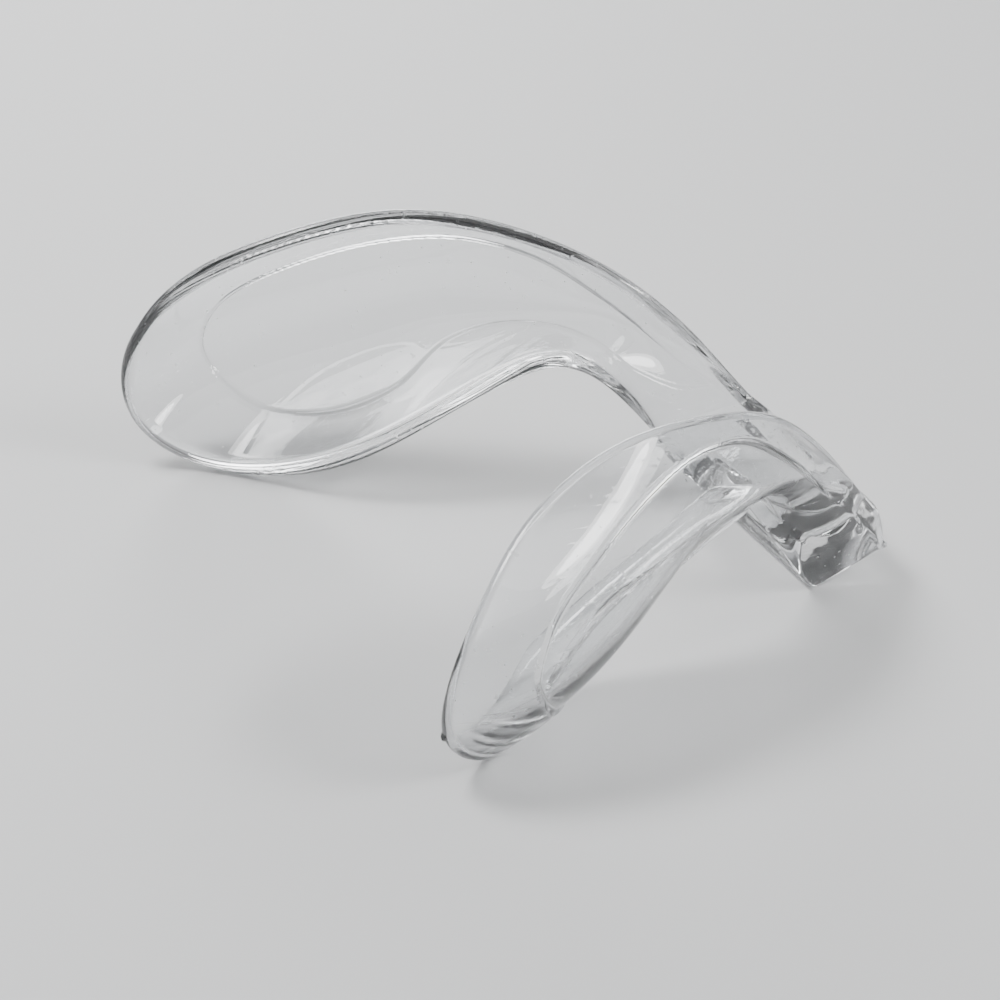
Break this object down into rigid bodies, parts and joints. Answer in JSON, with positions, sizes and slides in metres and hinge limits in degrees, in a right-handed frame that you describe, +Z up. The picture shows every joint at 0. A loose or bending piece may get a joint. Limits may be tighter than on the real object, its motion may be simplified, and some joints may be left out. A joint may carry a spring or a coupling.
{
  "type": "cheek retractor",
  "caption": "Clear one-piece M-type cheek retractor: a short heel bar and two sprung, spoon-shaped wings that hold the cheeks and lips apart.",
  "frame": {"origin": "middle of the narrow flat under the heel bar, on the surface the part stands on", "axes": "+X across the mouth, +Y from the heel bar towards the paddle tips, +Z up; right_ is +X"},
  "size_m": [0.0738, 0.0545, 0.0252],
  "materials": {
    "clear_polycarbonate": "polished, water-clear"
  },
  "bodies": {
    "bridge": {"heel_bar": "clear_polycarbonate", "right_neck": "clear_polycarbonate", "left_neck": "clear_polycarbonate"},
    "right_wing": {"right_lower_rim": "clear_polycarbonate", "right_upper_rim": "clear_polycarbonate", "right_tip_rim": "clear_polycarbonate", "right_pad": "clear_polycarbonate"},
    "left_wing": {"left_lower_rim": "clear_polycarbonate", "left_upper_rim": "clear_polycarbonate", "left_tip_rim": "clear_polycarbonate", "left_pad": "clear_polycarbonate"}
  },
  "joints": [
    {"name": "right_flex", "type": "hinge", "parent": "bridge", "child": "right_wing", "pos_m": [0.0109, -0.0027, 0.01], "axis": [0, 0, 1], "range_deg": [-4, 12], "stiffness_Nm_per_rad": 1.2},
    {"name": "left_flex", "type": "hinge", "parent": "bridge", "child": "left_wing", "pos_m": [-0.0109, -0.0027, 0.01], "axis": [0, 0, -1], "range_deg": [-4, 12], "stiffness_Nm_per_rad": 1.2}
  ]
}
